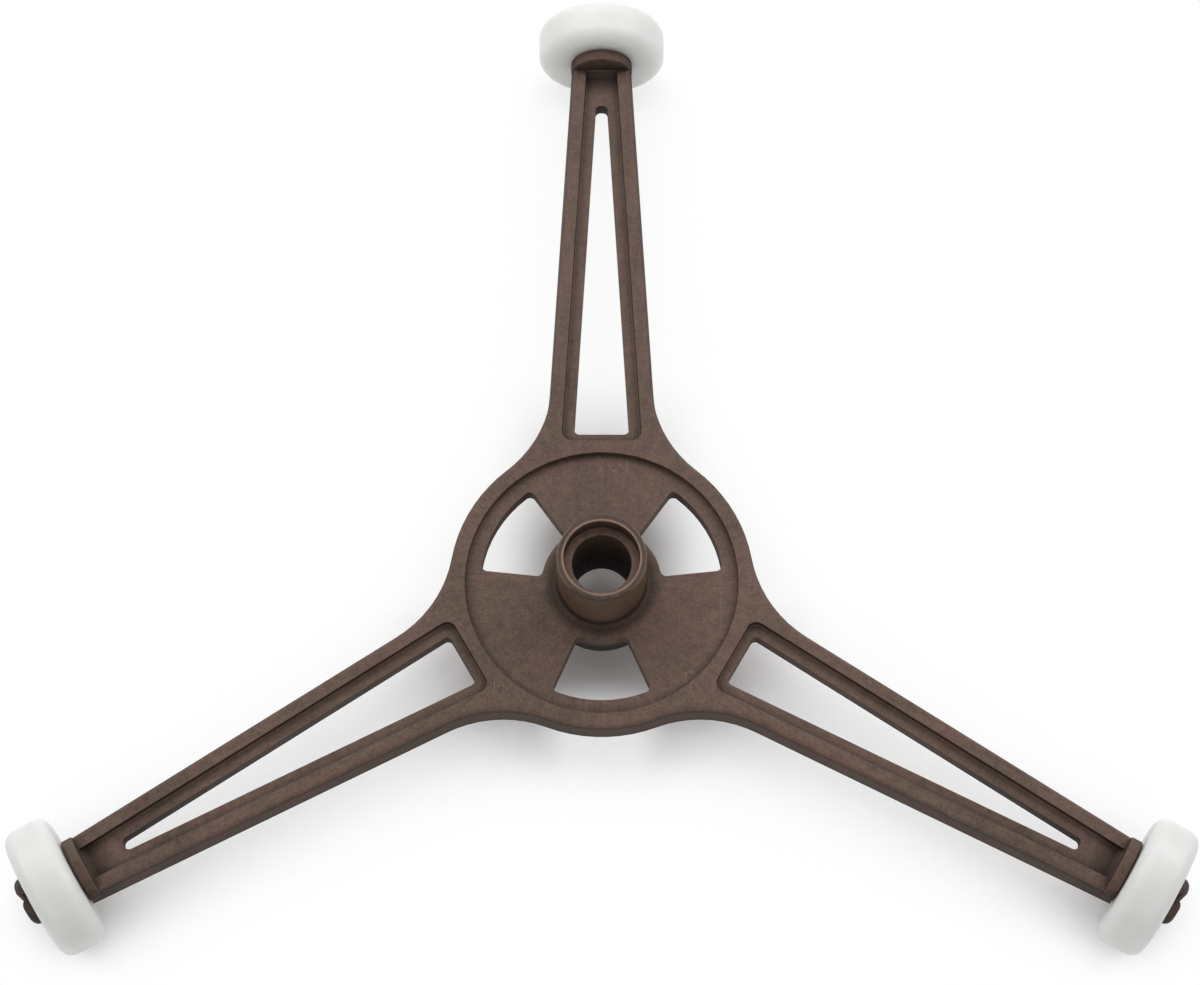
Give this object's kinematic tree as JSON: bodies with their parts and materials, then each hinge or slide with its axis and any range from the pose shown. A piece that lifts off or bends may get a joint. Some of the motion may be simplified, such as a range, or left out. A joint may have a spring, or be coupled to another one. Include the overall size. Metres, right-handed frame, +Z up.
{
  "type": "microwave turntable roller support",
  "caption": "Moulded plastic support with arms spreading from a bored hub, a free-turning roller on a split pin at each arm's end, to carry a turning glass tray.",
  "frame": {"origin": "on the hub bore's axis, in the plane of the axle pins", "axes": "+Z up along the hub bore, towards the tray; +Y along the arm that carries roller_rear; +X to the right, towards roller_right"},
  "size_m": [0.1722, 0.1514, 0.024],
  "materials": {
    "carrier_plastic": "moulded brown filled plastic, slightly mottled, rubbed at the edges",
    "roller_plastic": "smooth off-white low-friction plastic"
  },
  "bodies": {
    "carrier": {"carrier": "carrier_plastic"},
    "roller_rear": {"roller_rear": "roller_plastic"},
    "roller_left": {"roller_left": "roller_plastic"},
    "roller_right": {"roller_right": "roller_plastic"}
  },
  "joints": [
    {"name": "roller_rear_spin", "type": "hinge", "parent": "carrier", "child": "roller_rear", "pos_m": [0, 0.091, 0], "axis": [0, 1, 0], "continuous": true},
    {"name": "roller_left_spin", "type": "hinge", "parent": "carrier", "child": "roller_left", "pos_m": [-0.07881, -0.0455, 0], "axis": [-0.866, -0.5, 0], "continuous": true},
    {"name": "roller_right_spin", "type": "hinge", "parent": "carrier", "child": "roller_right", "pos_m": [0.07881, -0.0455, 0], "axis": [0.866, -0.5, 0], "continuous": true}
  ]
}
